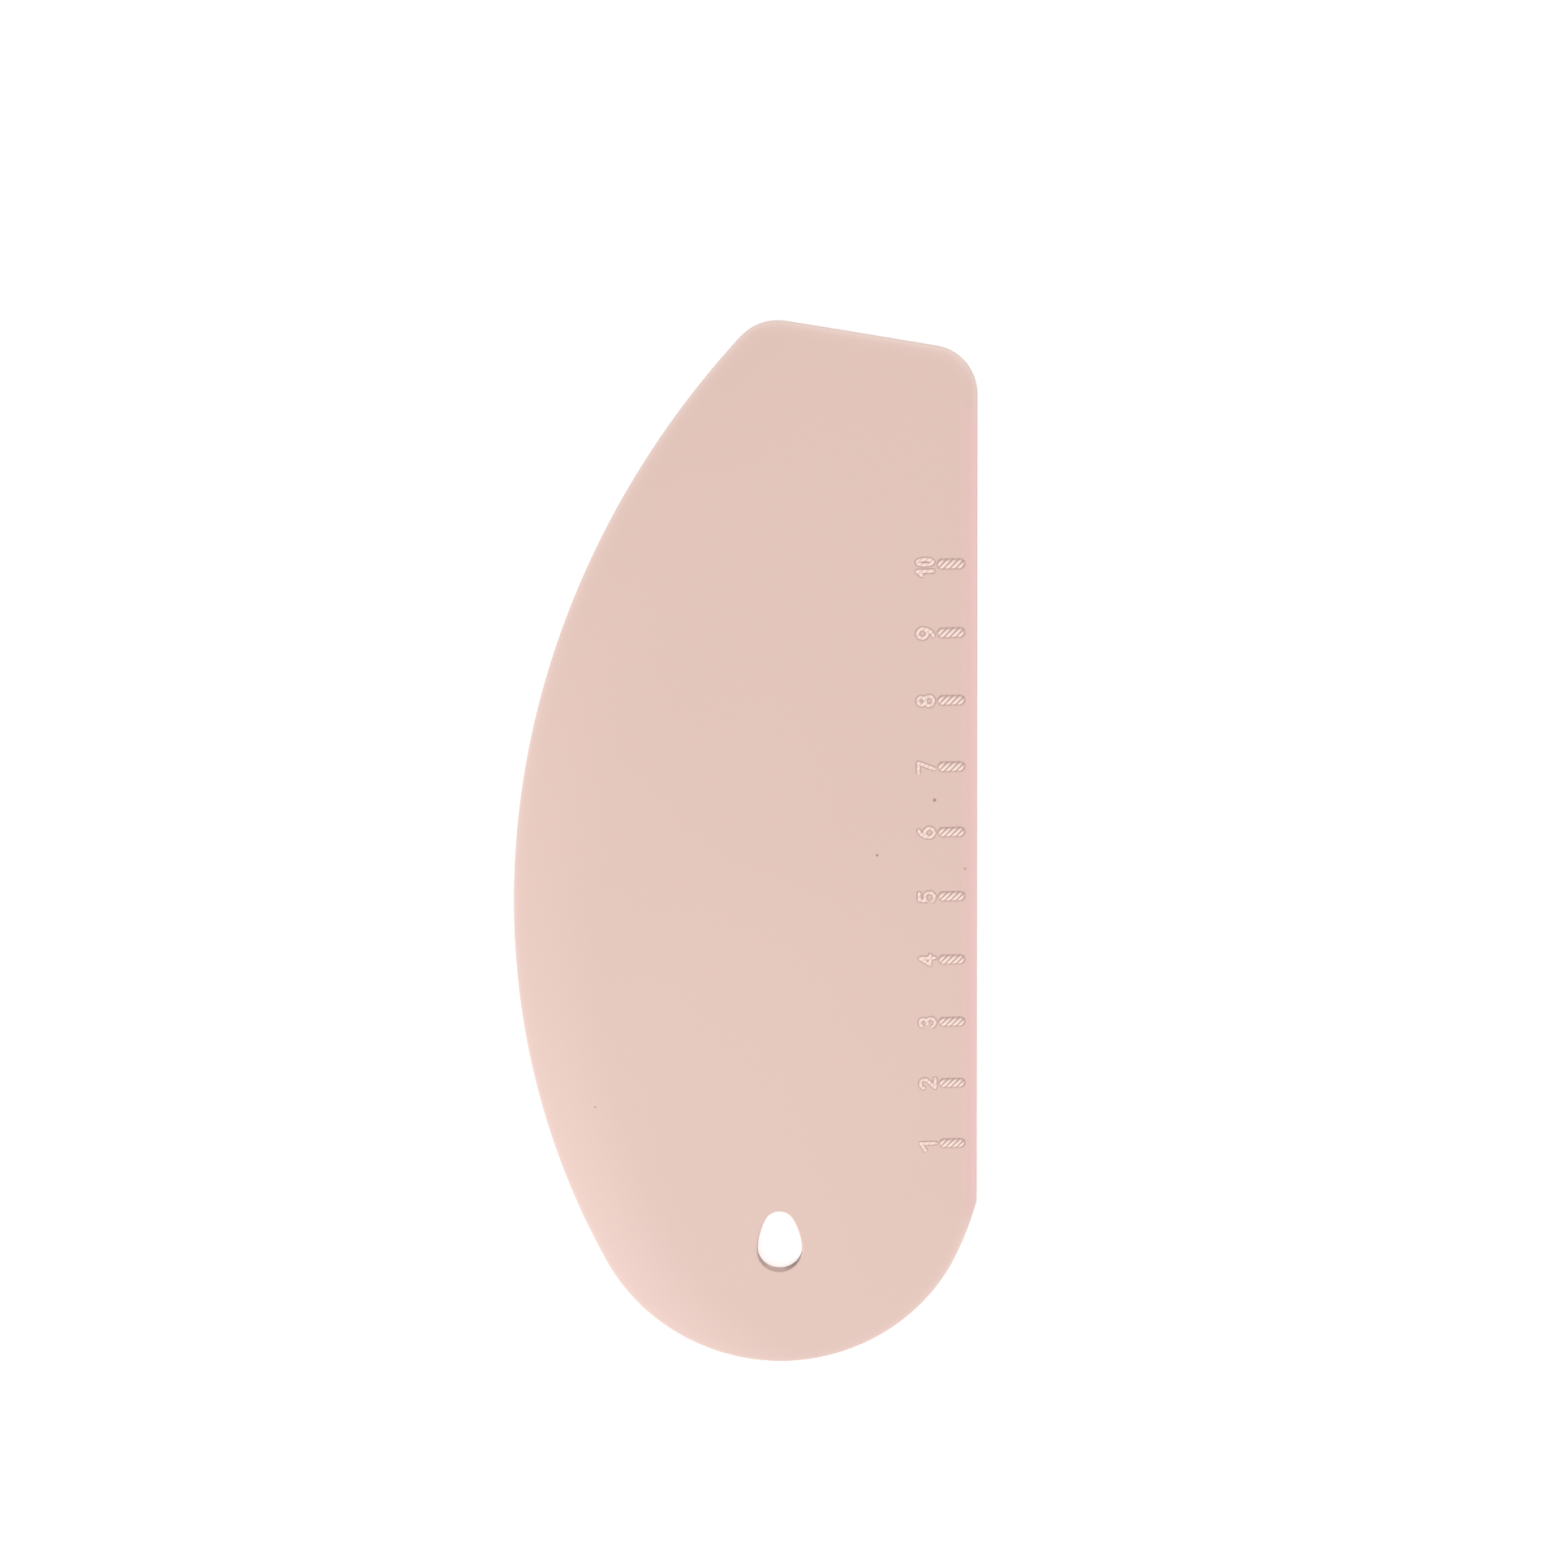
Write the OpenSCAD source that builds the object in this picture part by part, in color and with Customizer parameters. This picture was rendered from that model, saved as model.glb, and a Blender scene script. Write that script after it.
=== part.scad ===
// Bowl scraper: one thin plastic moulding with a curved belly edge, a straight edge, a hanging hole
// and a raised centimetre scale. It lies on its flat back, with the straight edge to +X.

/* [Outline] */
// Width from the straight edge to the widest point of the belly
blade_w = 70.7; // [66:0.1:76]
// Radius of the belly, the long curve that follows a bowl
belly_r = 125.7; // [118:0.1:140]
// Height of the belly's widest point above the scale's zero
belly_y = 43.6; // [38:0.2:50]
// Length of the straight edge's line, from the scale's zero to the top edge
edge_l = 129.7; // [124:0.1:136]
// Slope of the top edge in degrees
top_slope = 10.4; // [0:0.1:18]
// Radius of the top corner at the straight edge
right_corner_r = 7; // [3:0.5:12]
// Radius of the top corner at the belly
left_corner_r = 7.5; // [3:0.5:12]
// Radius of the round tail
tail_r = 30.7; // [29:0.1:32]
// How far the tail's circle stays inside the straight edge
tail_inset = 0.5; // [0.3:0.1:1.5]
// Radius of the heel, the flatter curve from the tail up to the straight edge
heel_r = 60; // [40:1:90]

/* [Section] */
// Thickness of the blade
thickness = 1.6; // [1.2:0.1:2.4]
// Thickness left at the belly's rim
lip = 0.7; // [0.5:0.1:1]
// Width of the crowned taper along the belly
taper_w = 12.5; // [8:0.5:15]
// Radius that the taper turns to at the tail, where it runs out; larger runs out sooner
taper_tail_r = 60; // [45:1:90]
// Width of the bevel along the straight edge
bevel_w = 1.7; // [1:0.1:2.5]
// Drop of that bevel at the rim
bevel_drop = 0.2; // [0.1:0.05:0.5]

/* [Hanging hole] */
// Width of the egg-shaped hole
hole_w = 7; // [6:0.1:8.6]
// Length of the hole
hole_l = 10.1; // [9.5:0.1:13]
// Radius of its narrow end
hole_tip_r = 2.4; // [1.2:0.1:2.6]
// Material between the tail's rim and the hole
hole_margin = 15.9; // [8:0.1:18]
// Sideways distance of the hole from the middle of the tail
hole_shift = 0.1; // [0:0.1:3]

/* [Scale] */
// Number of raised marks
mark_count = 10; // [1:1:11]
// Distance from one mark to the next
mark_pitch = 10; // [5:0.5:10.5]
// Length of a mark
mark_l = 4.2; // [3:0.1:6]
// Width of a mark
mark_w = 1.6; // [1:0.1:2.4]
// Height of a mark's rounded back above the blade
mark_h = 0.2; // [0.15:0.05:0.4]
// Height of a mark's upright sides
mark_side_h = 0.1; // [0.05:0.05:0.1]
// Gap between the bevel of the straight edge and the marks
mark_gap = 0.1; // [0:0.1:2]

/* [Hidden] */
$fn = 180;

plastic = "#e5c7be";
// A hair's breadth, by which neighbouring curves cross instead of only just touching
hair = 0.01;
// How far cuts reach past the solid
over = 1;

// The layout is worked out from the straight edge (x = 0) and the scale's zero (y = 0).
belly_c = [belly_r - blade_w, belly_y];

// The tail's circle touches the belly from inside.
tail_x = -tail_r - tail_inset;
tail_drop = sqrt(pow(belly_r - tail_r, 2) - pow(belly_c.x - tail_x, 2));
tail_c = [tail_x, belly_y - tail_drop];
tail_low = tail_c.y - tail_r;
belly_tail_dir = atan2(tail_c.y - belly_c.y, tail_c.x - belly_c.x);

// The heel's circle touches the tail from outside and passes through the zero of the scale.
tail_far = norm(tail_c);
heel_step = heel_r - tail_r;
heel_along = (pow(tail_far, 2) + pow(heel_r, 2) - pow(heel_step, 2)) / (2 * tail_far);
heel_side = sqrt(pow(heel_r, 2) - pow(heel_along, 2));
heel_c = tail_c / tail_far * heel_along + [tail_c.y, -tail_c.x] / tail_far * heel_side;
heel_tail_dir = atan2(tail_c.y - heel_c.y, tail_c.x - heel_c.x);

// The two top corners
top_out = [sin(top_slope), cos(top_slope)];
top_run = [-cos(top_slope), sin(top_slope)];
top_start = [0, edge_l];
right_corner_c = [
    -right_corner_r,
    edge_l - right_corner_r * (1 - sin(top_slope)) / cos(top_slope),
];
left_base = top_start - left_corner_r * top_out - belly_c;
left_back = left_base * top_run;
left_reach = belly_r - left_corner_r;
left_run = sqrt(pow(left_back, 2) - left_base * left_base + pow(left_reach, 2)) - left_back;
left_corner_c = belly_c + left_base + left_run * top_run;
left_corner_dir = atan2(left_corner_c.y - belly_c.y, left_corner_c.x - belly_c.x);
blade_high = left_corner_c.y + left_corner_r;

// The taper's crowned arc starts flat on the face and ends at the lip. Past the belly's end it turns
// to its own circle, which touches the belly's there and leaves the tail slowly. That stretch sits a
// little further out, so that the two arcs cross instead of only just touching.
taper_drop = thickness - lip;
taper_r = (pow(taper_w, 2) + pow(taper_drop, 2)) / (2 * taper_drop);
belly_end = [cos(belly_tail_dir), sin(belly_tail_dir)];
taper_tail_c = belly_c + (belly_r - taper_tail_r) * belly_end;
taper_tail_out = 0.3;
taper_tail_turn = 120;

// The egg-shaped hole: a round end, a narrow end and two long sides that touch both
hole_r = hole_w / 2;
hole_c = [tail_c.x - hole_shift, tail_low + hole_margin + hole_r];
tip_y = hole_l - hole_r - hole_tip_r;
side_r = (pow(hole_r, 2) + pow(tip_y, 2) - pow(hole_tip_r, 2)) / (2 * (hole_r - hole_tip_r));
side_x = side_r - hole_r;
side_top = side_r * tip_y / norm([side_x, tip_y]);

// The rounded back of a mark
back_h = mark_h - mark_side_h;
back_r = (pow(mark_w / 2, 2) + pow(back_h, 2)) / (2 * back_h);

// Middle of the finished outline, which becomes the part's origin
middle = [-blade_w / 2, (tail_low + blade_high) / 2];

// A pie slice as a polygon, from direction a0 to a1
module slice(r, a0, a1) {
    steps = 6;
    polygon(concat(
        [[0, 0]],
        [for (i = [0:steps]) r * [cos(a0 + (a1 - a0) * i / steps), sin(a0 + (a1 - a0) * i / steps)]]
    ));
}

// What a rounded corner takes away between two directions
module corner_cut(c, r, a0, a1) {
    translate(c) difference() {
        slice(2 * r, a0, a1);
        circle(r + hair);
    }
}

module outline() {
    reach = blade_w + over;
    difference() {
        intersection() {
            translate(belly_c) circle(belly_r);
            polygon([
                [0, tail_low - over],
                top_start,
                [-reach, edge_l + reach * tan(top_slope)],
                [-reach, tail_low - over],
            ]);
        }
        // heel
        difference() {
            translate([-reach, tail_low - 2 * over])
                square([reach + over, heel_c.y - tail_low + 2 * over]);
            translate(heel_c) circle(heel_r);
        }
        corner_cut(tail_c, tail_r, belly_tail_dir, heel_tail_dir);
        corner_cut(right_corner_c, right_corner_r, 0, 90 - top_slope);
        corner_cut(left_corner_c, left_corner_r, 90 - top_slope, left_corner_dir);
    }
}

module egg() {
    circle(hole_r);
    translate([0, tip_y]) circle(hole_tip_r);
    intersection() {
        translate([-hole_r, 0]) square([hole_w, side_top]);
        translate([-side_x, 0]) circle(side_r - hair);
        translate([side_x, 0]) circle(side_r - hair);
    }
}

// One plane down the whole side, so that it runs out by itself at the heel and the corner
module bevel_cut() {
    rise = bevel_drop / bevel_w;
    translate([0, edge_l + over, thickness]) rotate([90, 0, 0]) linear_extrude(edge_l - tail_low + 2 * over)
        polygon([
            [-bevel_w - over, over * rise],
            [over, -bevel_drop - over * rise],
            [over, over * rise],
        ]);
}

// Section of the taper, for a rim at x = r
module taper_section(r) {
    difference() {
        translate([r - taper_w, 0]) square([taper_w + over, thickness + over]);
        translate([r - taper_w, thickness - taper_r]) circle(taper_r + hair);
    }
}

module taper_cut() {
    translate(belly_c) rotate_extrude() taper_section(belly_r);
    translate(taper_tail_c) rotate(belly_tail_dir)
        rotate_extrude(angle = taper_tail_turn) taper_section(taper_tail_r + taper_tail_out);
}

module blade() {
    color(plastic) translate([-middle.x, -middle.y, 0]) difference() {
        linear_extrude(thickness) outline();
        taper_cut();
        bevel_cut();
        translate([hole_c.x, hole_c.y, -over]) linear_extrude(thickness + 2 * over) egg();
    }
}

// One raised mark, a rib with a rounded back and round ends, from x = 0 to the left
module mark() {
    end_r = mark_w / 2 + hair;
    intersection() {
        rotate([90, 0, -90]) linear_extrude(mark_l) intersection() {
            translate([0, mark_h - back_r]) circle(back_r);
            translate([-mark_w / 2, 0]) square([mark_w, mark_h + over]);
        }
        linear_extrude(mark_h + over) {
            translate([end_r - mark_l, -end_r]) square([mark_l - 2 * end_r, 2 * end_r]);
            for (x = [-end_r, end_r - mark_l]) translate([x, 0]) circle(end_r);
        }
    }
}

module scale_marks() {
    color(plastic) for (i = [1:mark_count])
        translate([-middle.x - bevel_w - mark_gap, i * mark_pitch - middle.y, thickness]) mark();
}

blade();
scale_marks();
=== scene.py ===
import math
import bmesh
import bpy
import numpy as np
from mathutils import Matrix, Vector


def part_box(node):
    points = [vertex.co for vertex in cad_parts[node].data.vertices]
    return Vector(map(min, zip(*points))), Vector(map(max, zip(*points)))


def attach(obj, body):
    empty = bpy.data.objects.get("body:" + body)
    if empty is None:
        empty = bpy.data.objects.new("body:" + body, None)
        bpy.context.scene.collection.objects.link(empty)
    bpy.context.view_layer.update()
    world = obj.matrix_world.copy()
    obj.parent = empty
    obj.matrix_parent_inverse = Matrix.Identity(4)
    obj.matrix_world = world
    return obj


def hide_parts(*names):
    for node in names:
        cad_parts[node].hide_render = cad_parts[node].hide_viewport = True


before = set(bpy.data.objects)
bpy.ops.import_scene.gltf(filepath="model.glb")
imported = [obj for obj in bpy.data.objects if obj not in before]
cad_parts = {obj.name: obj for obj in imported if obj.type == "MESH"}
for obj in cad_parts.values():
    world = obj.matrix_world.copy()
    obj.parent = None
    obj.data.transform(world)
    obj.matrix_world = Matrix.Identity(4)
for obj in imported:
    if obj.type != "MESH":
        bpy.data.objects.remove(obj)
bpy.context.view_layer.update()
print("frame loaded")

mm = 0.001
lampFrom = math.radians(235)    # from +X, so the lamp stands to the lower left of the view
toLamp = np.array([math.cos(lampFrom), math.sin(lampFrom)])

markSizes = {
    "count": 10,
    "pitch": 10 * mm,
    "rise": 0.15 * mm,         # height of a mark's back, a little lower than the solid's
    "sideRise": 0.04 * mm,     # height at which its sides run into the back
    "sink": 0.04 * mm,         # how far a mark is rooted in the face
    "crestHighlight": 0.55 * mm,        # half the width of its crest, which has a painted highlight
    "crestFade": (0.85, 1.15), # shares of that half over which the crest fades
    "cutPitch": 0.88 * mm,     # from one slanting cutter track to the next, along the mark
    "cutSlant": 45,            # degrees
    "cutDepth": 0.02 * mm,
    "cutFade": (0.55, 0.95),   # track shares over which a track's painted shade comes in
    "cutShade": 0.8,           # share of the painted shade in a track
    "sideShade": 0.36,         # share of the same painted shade on the sides
    "sideLean": 0.7,           # how much more painted shade shows on the side towards the lamp
    "sideSteps": 28,           # steps of the mesh along a side, round an end and over the back
    "endSteps": 24,
    "backSteps": 14,
}

# Places on the moulding, taken from the frame: the straight edge, the scale's zero and the face
bladeLow, bladeHigh = (np.array(corner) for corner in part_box("blade"))
marksLow, marksHigh = (np.array(corner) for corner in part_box("scale_marks"))
scaleRun = (markSizes["count"] - 1) * markSizes["pitch"]
markLength, markRun = (marksHigh - marksLow)[:2]
markWidth = markRun - scaleRun
edgeX = bladeHigh[0]
faceZ = marksLow[2]
zeroY = marksLow[1] + markWidth / 2 - markSizes["pitch"]
zero = np.array([edgeX, zeroY])


def linearColour(hexText):
    # sRGB hex to linear light
    parts = [int(hexText[i:i + 2], 16) / 255 for i in (1, 3, 5)]
    return [c / 12.92 if c <= 0.04045 else ((c + 0.055) / 1.055) ** 2.4 for c in parts] + [1]


def addNode(tree, kind, settings=None, links=None):
    # One node: settings go to its properties or input sockets, links bring other nodes' outputs
    node = tree.nodes.new(kind)
    for name, value in (settings or {}).items():
        if isinstance(name, str) and hasattr(node, name):
            setattr(node, name, value)
        else:
            node.inputs[name].default_value = value
    for name, source in (links or {}).items():
        tree.links.new(source, node.inputs[name])
    return node


plasticLook = {
    "colourWarm": "#E4C5BA",
    "colourDeep": "#E2C3B9",
    "crestHighlight": "#FEE5DC",      # painted highlight on the raised backs of marks and numerals
    "foot": "#B49188",       # painted shade on their sides and in the cutter's tracks
    "rim": "#F6E0D8",        # painted glow along the outer rim, standing in for light that comes through it
    "bevel": "#F1C6C2",      # the same painted glow along the straight edge, pinker
    "wallLight": "#F6D6CD",       # painted light on the hanging hole's wall, as if light came through it
    "paintedWallShade": "#AC9A95",  # painted shade on the same wall, on the side of the straight edge
    "fleck": "#A6847B",
    "refraction": 1.49,
    "roughness": 0.55,
    "crestRoughness": 0.42,
    "patchSize": 60,         # mm, slow drift of the pigment
    "patchDetail": 2.0,
    "patchSpread": 0.2,      # how far to both sides of the middle the drift runs from deep to warm
    "grainSize": 0.35,       # mm, spark-eroded mould grain
    "grainDetail": 3.0,
    "grainDepth": 0.004,     # mm
    # mm: place on the face counted from the scale's zero, and radius
    "flecks": [(-15.1, 56.7, 0.2), (-6.4, 65.0, 0.26), (-1.8, 54.3, 0.24), (-59.5, 17.3, 0.18)],
    "fleckEdge": (1.2, 0.7), # shares of its radius over which a fleck comes in
}


def mouldedPolypropylene():
    # Polypropylene moulded in a spark-eroded mould: matte, fine even grain, with a painted glow at its
    # rims.
    # The raised marks are smoother on their backs, with a painted highlight there and painted shade on
    # their sides.
    look = plasticLook
    material = bpy.data.materials.new("mouldedPolypropylene")
    material.use_nodes = True
    tree = material.node_tree
    tree.nodes.clear()
    place = addNode(tree, "ShaderNodeTexCoord").outputs["Object"]
    drift = addNode(tree, "ShaderNodeTexNoise",
                    {"Scale": 1 / (look["patchSize"] * mm), "Detail": look["patchDetail"]},
                    {"Vector": place})
    ramp = addNode(tree, "ShaderNodeValToRGB", None, {"Fac": drift.outputs["Fac"]})
    deep, warm = ramp.color_ramp.elements
    deep.position = 0.5 - look["patchSpread"]
    deep.color = linearColour(look["colourDeep"])
    warm.position = 0.5 + look["patchSpread"]
    warm.color = linearColour(look["colourWarm"])
    # Dark flecks of stray pigment in the face: soft dots, each round its own place
    colour = ramp.outputs["Color"]
    outside, inside = look["fleckEdge"]
    for x, y, radius in look["flecks"]:
        middle = (edgeX + x * mm, zeroY + y * mm, faceZ)
        apart = addNode(tree, "ShaderNodeVectorMath", {"operation": "DISTANCE", 1: middle}, {0: place})
        share = addNode(tree, "ShaderNodeMapRange",
                        {"From Min": outside * radius * mm, "From Max": inside * radius * mm},
                        {"Value": apart.outputs["Value"]})
        colour = addNode(tree, "ShaderNodeMixRGB", {"Color2": linearColour(look["fleck"])},
                         {"Fac": share.outputs["Result"], "Color1": colour}).outputs["Color"]
    # The tints, each where its attribute on the mesh says: painted glow at the rims, bevel and hole's
    # wall, painted shade on that wall and at the marks' sides and tracks, and a painted highlight on
    # the marks' backs
    for attribute in ("bevel", "rim", "wallLight", "paintedWallShade", "crestHighlight", "foot"):
        share = addNode(tree, "ShaderNodeAttribute", {"attribute_name": attribute}).outputs["Fac"]
        colour = addNode(tree, "ShaderNodeMixRGB", {"Color2": linearColour(look[attribute])},
                         {"Fac": share, "Color1": colour}).outputs["Color"]
        if attribute == "crestHighlight":
            crestHighlight = share
    gloss = addNode(tree, "ShaderNodeMapRange",
                    {"To Min": look["roughness"], "To Max": look["crestRoughness"]}, {"Value": crestHighlight})
    grain = addNode(tree, "ShaderNodeTexNoise",
                    {"Scale": 1 / (look["grainSize"] * mm), "Detail": look["grainDetail"]},
                    {"Vector": place})
    bump = addNode(tree, "ShaderNodeBump", {"Strength": 1.0, "Distance": look["grainDepth"] * mm},
                   {"Height": grain.outputs["Fac"]})
    shader = addNode(tree, "ShaderNodeBsdfPrincipled", {"IOR": look["refraction"]},
                     {"Base Color": colour, "Roughness": gloss.outputs["Result"],
                      "Normal": bump.outputs["Normal"]})
    addNode(tree, "ShaderNodeOutputMaterial", None, {"Surface": shader.outputs["BSDF"]})
    return material


plastic = mouldedPolypropylene()
print("material made")


def gridFaces(rows, columns, wrapRows, wrapColumns):
    # Four-sided faces between neighbouring rows and columns of a grid of points
    i, j = np.meshgrid(np.arange(rows if wrapRows else rows - 1),
                       np.arange(columns if wrapColumns else columns - 1), indexing="ij")
    a, b = (i + 1) % rows, (j + 1) % columns
    corners = [i * columns + j, a * columns + j, a * columns + b, i * columns + b]
    return np.stack(corners, axis=-1).reshape(-1, 4)


mergeDistance = 0.0002 * mm    # apart from which points count as one


def makePiece(name, points, faces, shares, replaced=()):
    # A mesh from arrays, with its shares of the named tints, made a piece of the moulding
    mesh = bpy.data.meshes.new(name)
    mesh.from_pydata(points.tolist(), [], faces.tolist())
    for tint, values in shares.items():
        layer = mesh.attributes.new(tint, "FLOAT", "POINT")
        layer.data.foreach_set("value", np.ascontiguousarray(values, dtype=np.float32).ravel())
    # Points that coincide at poles and seams become one, and the faces turn outwards
    shape = bmesh.new()
    shape.from_mesh(mesh)
    bmesh.ops.remove_doubles(shape, verts=shape.verts, dist=mergeDistance)
    bmesh.ops.recalc_face_normals(shape, faces=shape.faces)
    shape.to_mesh(mesh)
    shape.free()
    mesh.update()
    mesh.shade_smooth()
    mesh.materials.append(plastic)
    piece = bpy.data.objects.new(name, mesh)
    bpy.context.collection.objects.link(piece)
    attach(piece, "root")
    if replaced:
        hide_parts(*replaced)
    return piece


def smoothStep(low, high, values):
    # 0 up to low, 1 from high on, and 3 t^2 - 2 t^3 between them
    t = np.clip((values - low) / (high - low), 0, 1)
    return t * t * (3 - 2 * t)


bladeSizes = {
    "bellyRadius": 125.7 * mm,
    "bellyHeight": 43.6 * mm,    # of the belly's widest point above the scale's zero
    "edgeLength": 129.7 * mm,    # of the straight edge's line, from the scale's zero to the top
    "topSlope": 10.4,            # degrees
    "edgeCorner": 7 * mm,
    "bellyCorner": 7.5 * mm,
    "tailRadius": 30.7 * mm,
    "tailInset": 0.5 * mm,
    "heelRadius": 60 * mm,
    "lip": 0.7 * mm,
    "taperWidth": 12.5 * mm,
    "taperTailRadius": 60 * mm,
    "taperTailOut": 0.3 * mm,
    "taperTailTurn": 120,        # degrees
    "bevelWidth": 1.7 * mm,
    "bevelDrop": 0.2 * mm,
    "bevelBlend": 0.25 * mm,     # softness of the line where the bevel starts
    "bevelTint": 3 * mm,         # width of the strip that the bevel's painted light fades over
    "bevelFull": 0.2,            # share of the bevel's width at the rim where the painted light is full
    "bevelStart": (-8 * mm, 4 * mm),   # from the zero, over which run the painted light comes in
    "bevelEnd": (-6 * mm, 2 * mm),     # from the corner's centre, over which run it goes out
    "rimRound": 0.14 * mm,       # radius of the rim's edges
    "rimDepth": 2.4 * mm,        # stretch that follows the rim
    "glowDepth": 0.55 * mm,      # depth at which the painted glow in the rim has faded to a third
    "glowLeast": 0.3,            # share of the painted glow that is left on the side towards the lamp
    "glowBevel": 0.5,            # share of it that shows on the bevel
    "spacing": 0.6 * mm,         # of the mesh along the outline
    "normalBlend": 4 * mm,       # run over which the rim's direction turns at the zero
    "roundRows": 6,              # rows of the mesh in the rounded edges of the rim and the hole
    "rimRows": 10,               # and near the rim, over the face and under the blade
    "faceRows": 64,
    "backRows": 12,
    "crowding": 1.6,             # how much closer together the face's rows lie towards the rim
}

holeSizes = {
    "width": 7 * mm,
    "length": 10.1 * mm,
    "tipRadius": 2.4 * mm,
    "margin": 15.9 * mm,         # from the tail's rim to the hole
    "shift": 0.1 * mm,           # from the middle of the tail
    "rimRound": 0.22 * mm,       # radius of the edge on top
    "rimDepth": 0.5 * mm,        # stretch that follows it
    "rimRows": 2,
    "footRound": 0.5 * mm,       # radius of the edge under the blade
    "footDepth": 0.8 * mm,
    "footRows": 8,
    "shadeNear": (0, 0.7),       # cosines of the bearing over which the wall's painted shade comes in
    "shadeFar": (0.5, 0.9),      # the same on the side of the belly
    "shadeFarShare": 0.5,
}


def arcRun(centre, radius, start, end):
    # Points of an arc and the directions out of it, angles in degrees, the last point left out
    count = max(3, int(round(radius * math.radians(end - start) / bladeSizes["spacing"])))
    turn = np.radians(np.linspace(start, end, count, endpoint=False))
    out = np.column_stack([np.cos(turn), np.sin(turn)])
    return centre + radius * out, out


def straightRun(start, end):
    # Points of a straight run and the direction to its right, the last point left out
    step = end - start
    length = np.linalg.norm(step)
    count = max(2, int(round(length / bladeSizes["spacing"])))
    points = start + np.linspace(0, 1, count, endpoint=False)[:, None] * step
    return points, np.repeat([[step[1] / length, -step[0] / length]], count, axis=0)


def bearing(step):
    # Direction of a step in degrees, anticlockwise from +X
    return math.degrees(math.atan2(step[1], step[0]))


def layOut():
    # The outline's circles, each found from its neighbours as tangent arcs
    s = bladeSizes
    width = bladeHigh[0] - bladeLow[0]
    belly = zero + [s["bellyRadius"] - width, s["bellyHeight"]]
    tailX = edgeX - s["tailRadius"] - s["tailInset"]
    tailReach = s["bellyRadius"] - s["tailRadius"]
    tail = np.array([tailX, belly[1] - math.sqrt(tailReach ** 2 - (belly[0] - tailX) ** 2)])
    # The heel passes through the zero and touches the tail's circle.
    toTail = tail - zero
    far = np.linalg.norm(toTail)
    along = (far ** 2 + s["heelRadius"] ** 2 - (s["heelRadius"] - s["tailRadius"]) ** 2) / (2 * far)
    aside = math.sqrt(s["heelRadius"] ** 2 - along ** 2)
    heel = zero + toTail / far * along + np.array([toTail[1], -toTail[0]]) / far * aside
    # The two top corners touch the sloped top.
    slope = math.radians(s["topSlope"])
    topOut = np.array([math.sin(slope), math.cos(slope)])
    topRun = np.array([-math.cos(slope), math.sin(slope)])
    topStart = zero + [0, s["edgeLength"]]
    drop = s["edgeCorner"] * (1 - math.sin(slope)) / math.cos(slope)
    edgeCorner = topStart - [s["edgeCorner"], drop]
    base = topStart - s["bellyCorner"] * topOut - belly
    back = base @ topRun
    run = math.sqrt(back ** 2 - base @ base + (s["bellyRadius"] - s["bellyCorner"]) ** 2) - back
    bellyCorner = belly + base + run * topRun
    return belly, tail, heel, edgeCorner, bellyCorner, topOut


belly, tail, heel, edgeCorner, bellyCorner, topOut = layOut()
tailDir = bearing(tail - belly) + 360


def outlineRing():
    # The outline anticlockwise from the scale's zero: straight edge, corner, top, corner, belly,
    # tail and heel
    s = bladeSizes
    topDir = bearing(topOut)
    runs = [
        straightRun(zero, edgeCorner + [s["edgeCorner"], 0]),
        arcRun(edgeCorner, s["edgeCorner"], 0, topDir),
        straightRun(edgeCorner + s["edgeCorner"] * topOut, bellyCorner + s["bellyCorner"] * topOut),
        arcRun(bellyCorner, s["bellyCorner"], topDir, bearing(bellyCorner - belly)),
        arcRun(belly, s["bellyRadius"], bearing(bellyCorner - belly), tailDir),
        arcRun(tail, s["tailRadius"], tailDir, bearing(tail - heel) + 360),
        arcRun(heel, s["heelRadius"], bearing(tail - heel), bearing(zero - heel)),
    ]
    points = np.vstack([run[0] for run in runs])
    out = np.vstack([run[1] for run in runs])
    # Directions averaged over a short run, so that rows inside the rim don't cross at the zero
    reach = int(round(s["normalBlend"] / s["spacing"] / 2))
    out = sum(np.roll(out, k, axis=0) for k in range(-reach, reach + 1))
    return points, out / np.linalg.norm(out, axis=1)[:, None]


def holeRing(centre, bearings):
    # The egg-shaped hole at given bearings from its round end's centre: the farthest of three forms,
    # the round end, the narrow end and the long sides that touch both
    s = holeSizes
    r = s["width"] / 2
    tipY = s["length"] - r - s["tipRadius"]
    sideR = (r ** 2 + tipY ** 2 - s["tipRadius"] ** 2) / (2 * (r - s["tipRadius"]))
    sideX = sideR - r
    sideTop = sideR * tipY / math.hypot(sideX, tipY)
    x, y = np.cos(bearings), np.sin(bearings)
    side = -np.abs(x) * sideX + np.sqrt((x * sideX) ** 2 + sideR ** 2 - sideX ** 2)
    tip = y * tipY + np.sqrt(np.maximum((y * tipY) ** 2 + s["tipRadius"] ** 2 - tipY ** 2, 0))
    reach = np.where(y <= 0, r, np.where(side * y < sideTop, side, tip))
    return centre + reach[:, None] * np.column_stack([x, y])


def fall(depth, width, drop):
    # Fall of a crowned taper, radius - sqrt(radius^2 - depth^2): a circle's arc that leaves the face
    # flat and has dropped by drop at width. Far outside it, depth is held at 0.9 of the radius.
    radius = (width ** 2 + drop ** 2) / (2 * drop)
    inside = np.clip(depth, 0, radius * 0.9)
    return radius - np.sqrt(radius ** 2 - inside ** 2)


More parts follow.
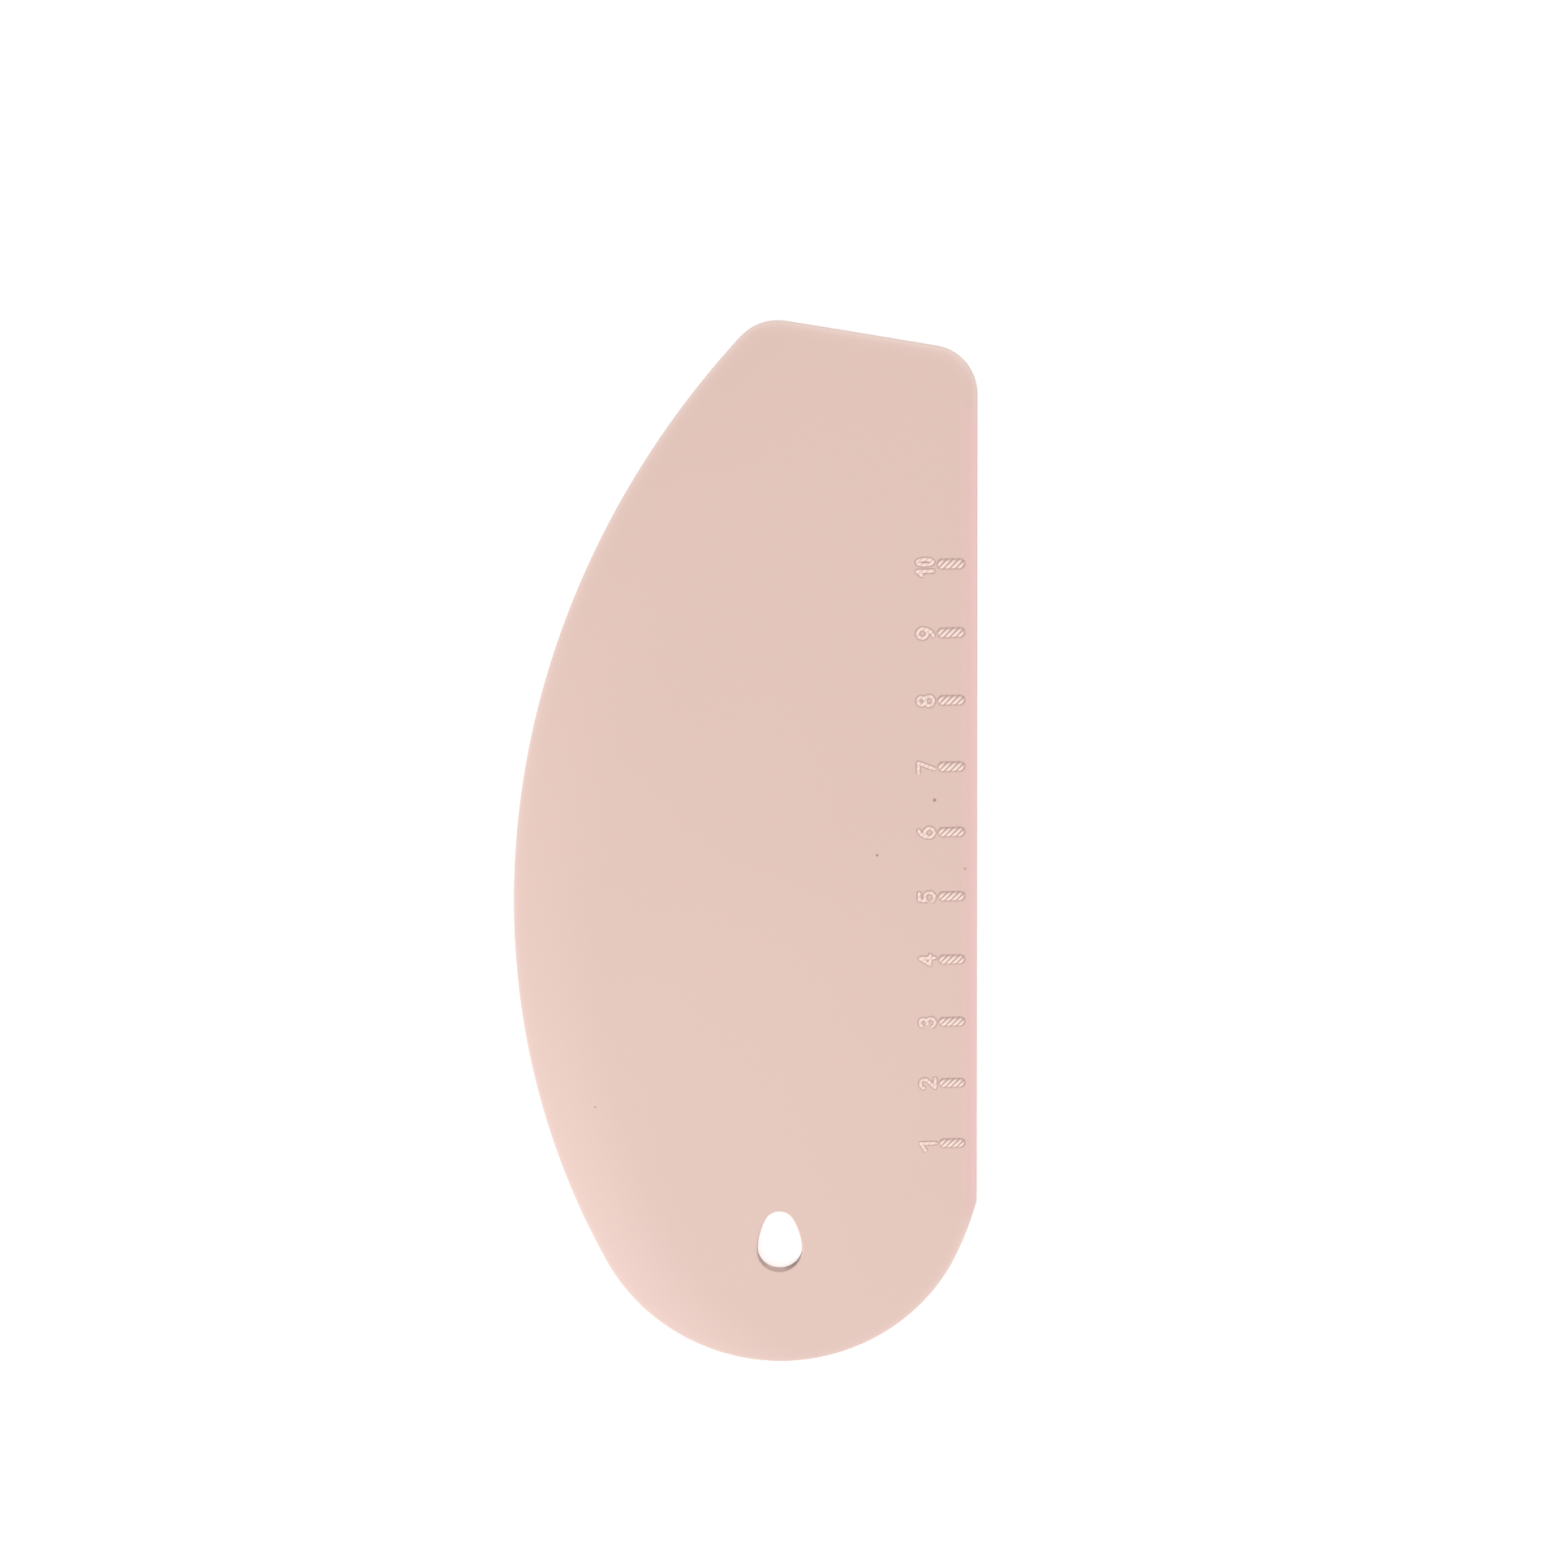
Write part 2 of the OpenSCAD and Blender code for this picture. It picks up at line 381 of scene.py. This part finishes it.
def faceHeight(points):
    # The thickness less the deepest of the belly's taper, its turn round the tail and the bevel
    s = bladeSizes
    drop = faceZ - s["lip"]
    toBelly = np.linalg.norm(points - belly, axis=-1)
    first = fall(toBelly - s["bellyRadius"] + s["taperWidth"], s["taperWidth"], drop)
    turn = math.radians(tailDir)
    shift = s["bellyRadius"] - s["taperTailRadius"]
    centre = belly + shift * np.array([math.cos(turn), math.sin(turn)])
    step = points - centre
    rim = s["taperTailRadius"] + s["taperTailOut"]
    second = fall(np.linalg.norm(step, axis=-1) - rim + s["taperWidth"], s["taperWidth"], drop)
    swing = np.degrees(np.arctan2(step[..., 1], step[..., 0])) - tailDir
    second = np.where(swing % 360 < s["taperTailTurn"], second, 0)
    across = points[..., 0] - edgeX + s["bevelWidth"]
    ramp = (across + np.sqrt(across ** 2 + s["bevelBlend"] ** 2)) / 2
    third = ramp * s["bevelDrop"] / s["bevelWidth"]
    return faceZ - np.maximum(np.maximum(first, second), third)


def cornerRows(radius, steps):
    # Quarter round of an edge: how far each row lies in from the wall and below the face
    turn = np.radians(np.linspace(0, 90, steps))
    return radius * (1 - np.sin(turn)), radius * (1 - np.cos(turn))


def makeBlade():
    # One closed grid: columns run round the outline, rows from the hole's wall over the face to the
    # rim, down its wall and back under the blade. Near the rim a row is the outline moved inwards.
    # Between them a row is point = hole + (rim - hole) * t, closer together towards the rim.
    s, h = bladeSizes, holeSizes
    outer, out = outlineRing()
    lowest = tail[1] - s["tailRadius"]
    centre = np.array([tail[0] - h["shift"], lowest + h["margin"] + h["width"] / 2])
    bearings = np.arctan2(outer[:, 1] - centre[1], outer[:, 0] - centre[0])
    inner = holeRing(centre, bearings)
    apart = np.column_stack([np.cos(bearings), np.sin(bearings)])

    rimIn, rimDown = cornerRows(s["rimRound"], s["roundRows"])
    holeIn, holeDown = cornerRows(h["rimRound"], s["roundRows"])
    footIn, footUp = cornerRows(h["footRound"], h["footRows"])
    rimFace = np.linspace(s["rimDepth"], s["rimRound"], s["rimRows"] + 1)[:-1]
    holeFace = np.linspace(h["rimRound"], h["rimDepth"], h["rimRows"] + 1)[1:]
    faceRim = outer - s["rimDepth"] * out
    faceHole = inner + h["rimDepth"] * apart
    spread = 1 - (1 - np.linspace(0, 1, s["faceRows"] + 2)[1:-1]) ** s["crowding"]
    between = faceHole + (faceRim - faceHole) * spread[:, None, None]
    foot = inner + h["footDepth"] * apart
    under = foot + (faceRim - foot) * np.linspace(0, 1, s["backRows"] + 2)[1:-1, None, None]

    top = np.concatenate([inner + holeIn[::-1, None, None] * apart,
                          inner + holeFace[:, None, None] * apart,
                          between,
                          outer - rimFace[:, None, None] * out,
                          outer - rimIn[:, None, None] * out])
    flat = len(holeFace) + len(between) + len(rimFace)
    topDown = np.concatenate([holeDown[::-1], np.zeros(flat), rimDown])
    bottom = np.concatenate([outer - rimIn[::-1, None, None] * out, [faceRim], under[::-1], [foot],
                             inner + footIn[:, None, None] * apart])
    bottomUp = np.concatenate([rimDown[::-1], np.zeros(len(under) + 2), footUp])
    topZ = faceHeight(top) - topDown[:, None]
    bottomZ = bladeLow[2] + np.repeat(bottomUp[:, None], len(outer), axis=1)
    grid = np.concatenate([np.dstack([top, topZ]), np.dstack([bottom, bottomZ])])
    grid = np.clip(grid, bladeLow, bladeHigh)

    # Share of the rim's painted glow: exp(-depth / glowDepth), and more of it on the side away from
    # the lamp.
    # The face's middle, the rim's wall and the back count as deep.
    deep = 5 * s["glowDepth"]
    wallTop = 2 * s["glowDepth"]
    depth = np.concatenate([np.full(len(holeIn) + len(holeFace) + len(between), deep),
                            rimFace, rimIn[:-1], [wallTop], np.full(len(bottom), deep)])
    away = (1 - out @ toLamp) / 2
    glow = np.exp(-depth / s["glowDepth"])[:, None] * (s["glowLeast"] + (1 - s["glowLeast"]) * away)
    # Share of the bevel's painted light, which fades at both ends of the straight edge
    start = smoothStep(*s["bevelStart"], grid[..., 1] - zeroY)
    end = 1 - smoothStep(*s["bevelEnd"], grid[..., 1] - edgeCorner[1])
    across = smoothStep(-s["bevelTint"], -s["bevelFull"] * s["bevelWidth"], grid[..., 0] - edgeX)
    bevel = across * start * end
    # Shares of the painted light and the painted shade on the hole's wall, which is the first and last
    # two rows
    rows, columns = grid.shape[:2]
    wallLight = np.zeros((rows, columns))
    wallLight[[0, 1, -2, -1]] = 1
    aside = np.cos(bearings)
    near = smoothStep(*h["shadeNear"], aside)
    paintedWallShade = wallLight * (near + h["shadeFarShare"] * smoothStep(*h["shadeFar"], -aside))
    shares = {"rim": glow * (1 - (1 - s["glowBevel"]) * bevel), "bevel": bevel,
              "wallLight": wallLight, "paintedWallShade": paintedWallShade}
    faces = gridFaces(rows, columns, True, True)
    return makePiece("scraper_blade", grid.reshape(-1, 3), faces, shares, ["blade"])


makeBlade()
print("blade made")


def trackShare(x, y):
    # The cutter's slanting tracks over the whole scale: 0 between them, 1 in the middle of one
    s = markSizes
    run = x - y / math.tan(math.radians(s["cutSlant"]))
    return 0.5 - 0.5 * np.cos(2 * math.pi * run / s["cutPitch"])


def makeMarks():
    # Ten ribs with a rounded back and round ends. A rib is a set of rings round its middle line,
    # point = line + reach * direction, with height = side + (rise - side) * (1 - (reach / half)^2).
    # The cutter that engraved the mould left shallow slanting tracks in the rounded back.
    s = markSizes
    half = markWidth / 2
    straight = markLength / 2 - half
    sides, ends = s["sideSteps"], s["endSteps"]
    turn = np.radians(np.concatenate([np.linspace(-90, 90, ends, endpoint=False),
                                      np.full(sides, 90.0),
                                      np.linspace(90, 270, ends, endpoint=False),
                                      np.full(sides, 270.0)]))
    middle = np.concatenate([np.full(ends, straight),
                             np.linspace(straight, -straight, sides, endpoint=False),
                             np.full(ends, -straight),
                             np.linspace(-straight, straight, sides, endpoint=False)])
    back = half * np.cos(np.radians(np.linspace(0, 90, s["backSteps"])))[1:]
    reach = np.concatenate([[0, half, half], back])[:, None]
    height = s["sideRise"] + (s["rise"] - s["sideRise"]) * (1 - (reach / half) ** 2)
    height[:2] = -s["sink"]
    x = middle + reach * np.cos(turn)
    y = reach * np.sin(turn)
    # The tracks are as deep as cutDepth on the back's middle and run out at its sides.
    track = trackShare(x, y)
    cutDeep = s["cutDepth"] * track * (height > s["sideRise"]) * (1 - (reach / half) ** 4)
    z = height - cutDeep
    # Painted highlight on the back's crest, painted shade on its sides and in the tracks, heavier on
    # the side towards the lamp
    light = 1 - smoothStep(*s["crestFade"], reach / s["crestHighlight"])
    cut = smoothStep(*s["cutFade"], track)
    side = s["sideShade"] * (1 + s["sideLean"] * (np.cos(turn) * toLamp[0] + np.sin(turn) * toLamp[1]))
    crestHighlight = light * (1 - cut)
    foot = (1 - light) * (side + (s["cutShade"] - side) * cut) + light * cut * s["cutShade"]
    rows, columns = x.shape
    faces = gridFaces(rows, columns, False, True)
    points, allFaces, crestHighlights, paintedShades = [], [], [], []
    centreX = marksLow[0] + markLength / 2
    for k in range(s["count"]):
        centreY = zeroY + (k + 1) * s["pitch"]
        points.append(np.dstack([x + centreX, y + centreY, z + faceZ]).reshape(-1, 3))
        allFaces.append(faces + k * rows * columns)
        crestHighlights.append(crestHighlight)
        paintedShades.append(foot)
    shares = {"crestHighlight": np.stack(crestHighlights), "foot": np.stack(paintedShades)}
    return makePiece("scale_marks_moulded", np.vstack(points), np.vstack(allFaces), shares,
                     ["scale_marks"])


makeMarks()
print("marks made")


numeralSizes = {
    "height": 2.3 * mm,         # between the middles of its foot and top strokes
    "width": 1.6 * mm,          # the same across
    "pairWidth": 0.85 * mm,     # the same of each numeral of a pair
    "spacing": 0.5 * mm,        # between the two of a pair
    "pairShift": -0.3 * mm,     # of a pair along the scale
    "gap": 0.5 * mm,            # from the mark to the foot stroke's middle
    "stroke": 0.8 * mm,         # width of a stroke at its foot
    "crestHighlight": 0.23 * mm,         # half the width of its crest, which has a painted highlight
    "crestFade": (0.8, 1.25),   # shares of that half over which the crest fades
    "rise": 0.08 * mm,          # height of a stroke above the face
    "sink": 0.03 * mm,          # how far a stroke is rooted in the face
    "sideShade": 0.78,          # shares of the painted shade on the sides and in the cutter's tracks
    "cutShade": 0.3,
    "pointSpacing": 0.12 * mm,  # of the mesh along a stroke
    "endSteps": 7,              # points round a stroke's end and over its back
    "backSteps": 13,
}


def arc(cx, cy, rx, ry, start, end, count=25):
    # Points of an ellipse's arc, angles in degrees
    turn = np.radians(np.linspace(start, end, count))
    return np.column_stack([cx + rx * np.cos(turn), cy + ry * np.sin(turn)])


def line(*corners):
    # Straight strokes from corner to corner
    return np.array(corners, dtype=float)


# Strokes of each numeral in a cell one wide and one high
numeralStrokes = {
    "0": [arc(0.5, 0.5, 0.46, 0.5, 90, 450, 49)],
    "1": [line((0.55, 0), (0.55, 1)), line((0.55, 1), (-0.15, 0.7))],
    "2": [np.vstack([arc(0.48, 0.71, 0.44, 0.29, 165, -38), line((0.04, 0), (0.97, 0))])],
    "3": [arc(0.46, 0.76, 0.38, 0.24, 150, -90), arc(0.46, 0.27, 0.44, 0.27, 90, -150)],
    "4": [line((0.72, 0), (0.72, 1), (0.04, 0.3), (0.98, 0.3))],
    "5": [line((0.86, 1), (0.2, 1), (0.13, 0.56)), arc(0.47, 0.32, 0.45, 0.32, 135, -145)],
    "6": [arc(0.5, 0.31, 0.43, 0.31, 180, 540, 41), arc(0.98, 0.31, 0.91, 0.72, 180, 108)],
    "7": [line((0.05, 1), (0.95, 1), (0.36, 0))],
    "8": [arc(0.5, 0.27, 0.44, 0.27, 90, 450, 41), arc(0.5, 0.77, 0.36, 0.23, -90, 270, 41)],
    "9": [arc(0.5, 0.69, 0.43, 0.31, 0, 360, 41), arc(0.02, 0.69, 0.91, 0.72, 0, -72)],
}


def densify(path, spacing):
    # The same path with a point at least every spacing
    lengths = np.linalg.norm(np.diff(path, axis=0), axis=1)
    pieces = [np.linspace(a, b, max(2, int(math.ceil(s / spacing)) + 1))[:-1]
              for a, b, s in zip(path[:-1], path[1:], lengths)]
    return np.vstack(pieces + [path[-1:]])


def ridge(path):
    # A raised stroke: a rounded section carried along a path, with round ends.
    # Section: across = cos(a) * width / 2, up = sin(a) * rise, closed by a flat foot at -sink.
    # At the ends the section shrinks by cos(b) and moves on by sin(b) * width / 2.
    s = numeralSizes
    step = np.gradient(path, axis=0)
    along = step / np.linalg.norm(step, axis=1)[:, None]
    count = s["endSteps"]
    ends = np.radians(np.linspace(90, 0, count))
    shrink = np.concatenate([np.cos(ends), np.ones(len(path) - 2), np.cos(ends[::-1])])
    centres = np.vstack([path[0] - np.sin(ends)[:, None] * along[0] * s["stroke"] / 2, path[1:-1],
                         path[-1] + np.sin(ends[::-1])[:, None] * along[-1] * s["stroke"] / 2])
    forward = np.vstack([np.repeat(along[:1], count, 0), along[1:-1], np.repeat(along[-1:], count, 0)])
    side = np.column_stack([-forward[:, 1], forward[:, 0]])
    turn = np.radians(np.linspace(0, 180, s["backSteps"]))
    across = np.concatenate([np.cos(turn), [-1.0, 1.0]])
    up = np.concatenate([np.sin(turn) * s["rise"], [-s["sink"], -s["sink"]]])
    reach = across[None, :, None] * shrink[:, None, None]
    flat = centres[:, None, :] + side[:, None, :] * reach * s["stroke"] / 2
    height = np.where(up[None, :] > 0, up[None, :] * shrink[:, None], up[None, :])
    points = np.concatenate([flat, height[..., None]], axis=2)
    # A stroke's tints follow the marks': a painted highlight on the crest, painted shade on the sides
    # and in the tracks across it
    away = 1 - (1 - np.abs(across[None, :])) * shrink[:, None]
    cut = smoothStep(*markSizes["cutFade"], trackShare(flat[..., 0], flat[..., 1]))
    light = 1 - smoothStep(*s["crestFade"], away * s["stroke"] / 2 / s["crestHighlight"])
    # The painted shade on the sides is heavier on the side towards the lamp
    lean = markSizes["sideLean"] * np.sign(across)[None, :] * (side @ toLamp)[:, None]
    paintedShade = (1 - light) * s["sideShade"] * (1 + lean) + light * cut * s["cutShade"]
    light = light * (1 - s["cutShade"] * cut)
    rings, size = points.shape[:2]
    faces = gridFaces(rings, size, False, True)[:, ::-1]
    return points.reshape(-1, 3), faces, light.ravel(), paintedShade.ravel()


def makeNumeral(number):
    # The strokes of a number, turned to read from the straight edge and centred on its mark
    s = numeralSizes
    text = str(number)
    width = s["width"] if len(text) == 1 else s["pairWidth"]
    total = len(text) * width + (len(text) - 1) * s["spacing"]
    shift = s["pairShift"] if len(text) > 1 else 0
    footX = marksLow[0] - s["gap"]
    points, faces, crestHighlights, paintedShades, count = [], [], [], [], 0
    markY = zeroY + number * markSizes["pitch"]
    for place, letter in enumerate(text):
        left = shift + place * (width + s["spacing"]) - total / 2
        for stroke in numeralStrokes[letter]:
            path = densify(stroke * [width, s["height"]], s["pointSpacing"])
            turned = np.column_stack([footX - path[:, 1], markY + left + path[:, 0]])
            strokePoints, quads, light, paintedShade = ridge(turned)
            points.append(strokePoints + [0, 0, faceZ])
            faces.append(quads + count)
            crestHighlights.append(light)
            paintedShades.append(paintedShade)
            count += len(strokePoints)
    return makePiece("numeral_" + text, np.vstack(points), np.vstack(faces),
                     {"crestHighlight": np.concatenate(crestHighlights), "foot": np.concatenate(paintedShades)})


for number in range(1, markSizes["count"] + 1):
    makeNumeral(number)
print("numerals made")


floorLook = {
    "size": 3.0,            # m
    "level": -0.02 * mm,    # a hair below the blade, so that the two faces don't coincide
    "white": 0.93,
    "lift": 0.58,           # light on top that the camera sees: a white card with a faint shadow
}


def groundSeen(tree):
    # 1 for a ray from the camera, a reflection or a transmission, which all show the white ground
    seen = addNode(tree, "ShaderNodeLightPath").outputs
    first = addNode(tree, "ShaderNodeMath", {"operation": "MAXIMUM"},
                    {0: seen["Is Camera Ray"], 1: seen["Is Glossy Ray"]})
    both = addNode(tree, "ShaderNodeMath", {"operation": "MAXIMUM"},
                   {0: first.outputs[0], 1: seen["Is Transmission Ray"]})
    return both.outputs[0]


def makeFloor():
    # A plain white card, far wider than the view
    look = floorLook
    half, level = look["size"] / 2, look["level"]
    mesh = bpy.data.meshes.new("floor")
    corners = [(-half, -half, level), (half, -half, level), (half, half, level), (-half, half, level)]
    mesh.from_pydata(corners, [], [(0, 1, 2, 3)])
    material = bpy.data.materials.new("whiteCard")
    material.use_nodes = True
    tree = material.node_tree
    tree.nodes.clear()
    paint = addNode(tree, "ShaderNodeBsdfDiffuse", {"Color": [look["white"]] * 3 + [1]})
    glow = addNode(tree, "ShaderNodeEmission", {"Color": (1, 1, 1, 1), "Strength": look["lift"]})
    both = addNode(tree, "ShaderNodeAddShader", None, {0: paint.outputs[0], 1: glow.outputs[0]})
    mix = addNode(tree, "ShaderNodeMixShader", None,
                  {0: groundSeen(tree), 1: paint.outputs[0], 2: both.outputs[0]})
    addNode(tree, "ShaderNodeOutputMaterial", None, {"Surface": mix.outputs[0]})
    mesh.materials.append(material)
    floor = bpy.data.objects.new("floor", mesh)
    bpy.context.collection.objects.link(floor)


lightSizes = {
    "worldLevel": 0.52,
    "seenLevel": 1.0,      # of the white behind the card, as the camera sees it
    "keyLevel": 0.48,      # share of the light on a level face that the key gives
    "keyHeight": 40,       # degrees above the floor
    "keyDistance": 6.0,    # m
    "keyWidth": 3.0,       # m
}


def makeLights():
    # An even white world and one wide lamp
    s = lightSizes
    world = bpy.data.worlds.new("studio")
    bpy.context.scene.world = world
    world.use_nodes = True
    tree = world.node_tree
    tree.nodes.clear()
    plain = addNode(tree, "ShaderNodeBackground", {"Color": (1, 1, 1, 1), "Strength": s["worldLevel"]})
    white = addNode(tree, "ShaderNodeBackground", {"Color": (1, 1, 1, 1), "Strength": s["seenLevel"]})
    mix = addNode(tree, "ShaderNodeMixShader", None,
                  {0: groundSeen(tree), 1: plain.outputs[0], 2: white.outputs[0]})
    addNode(tree, "ShaderNodeOutputWorld", None, {"Surface": mix.outputs[0]})
    rise = math.radians(s["keyHeight"])
    lamp = bpy.data.lights.new("key", "AREA")
    lamp.shape = "DISK"
    lamp.size = s["keyWidth"]
    # A disk's light on a face that it meets squarely is power / (pi * distance^2).
    lamp.energy = s["keyLevel"] * math.pi ** 2 * s["keyDistance"] ** 2 / math.sin(rise)
    key = bpy.data.objects.new("key", lamp)
    bpy.context.collection.objects.link(key)
    towards = Vector((math.cos(rise) * toLamp[0], math.cos(rise) * toLamp[1], math.sin(rise)))
    key.location = towards * s["keyDistance"]
    key.rotation_euler = towards.to_track_quat("Z", "Y").to_euler()


# The camera's place is counted from the scale's zero on the straight edge, on the blade's face.
cameraSizes = {
    "place": (-28.36 * mm, 113.85 * mm, 229.82 * mm),
    "tilt": 11.285,   # degrees about X
    "roll": 1.329,    # degrees about Z
    "lens": 36.0,     # mm
    "sensor": 36.0,   # mm
    "clipStart": 0.005,
}


def makeCamera():
    # The photograph's viewing angle
    s = cameraSizes
    lens = bpy.data.cameras.new("camera")
    lens.lens = s["lens"]
    lens.sensor_width = s["sensor"]
    lens.clip_start = s["clipStart"]
    camera = bpy.data.objects.new("camera", lens)
    bpy.context.collection.objects.link(camera)
    turn = Vector((math.radians(s["tilt"]), 0, math.radians(s["roll"])))
    toView = Matrix.Rotation(turn.length, 3, turn.normalized())
    place = Vector(s["place"]) + Vector((edgeX, zeroY, faceZ))
    camera.matrix_world = Matrix.Translation(place) @ toView.transposed().to_4x4()
    bpy.context.scene.camera = camera


makeFloor()
makeLights()
makeCamera()
bpy.context.scene.view_settings.view_transform = "Standard"
print("stage set")
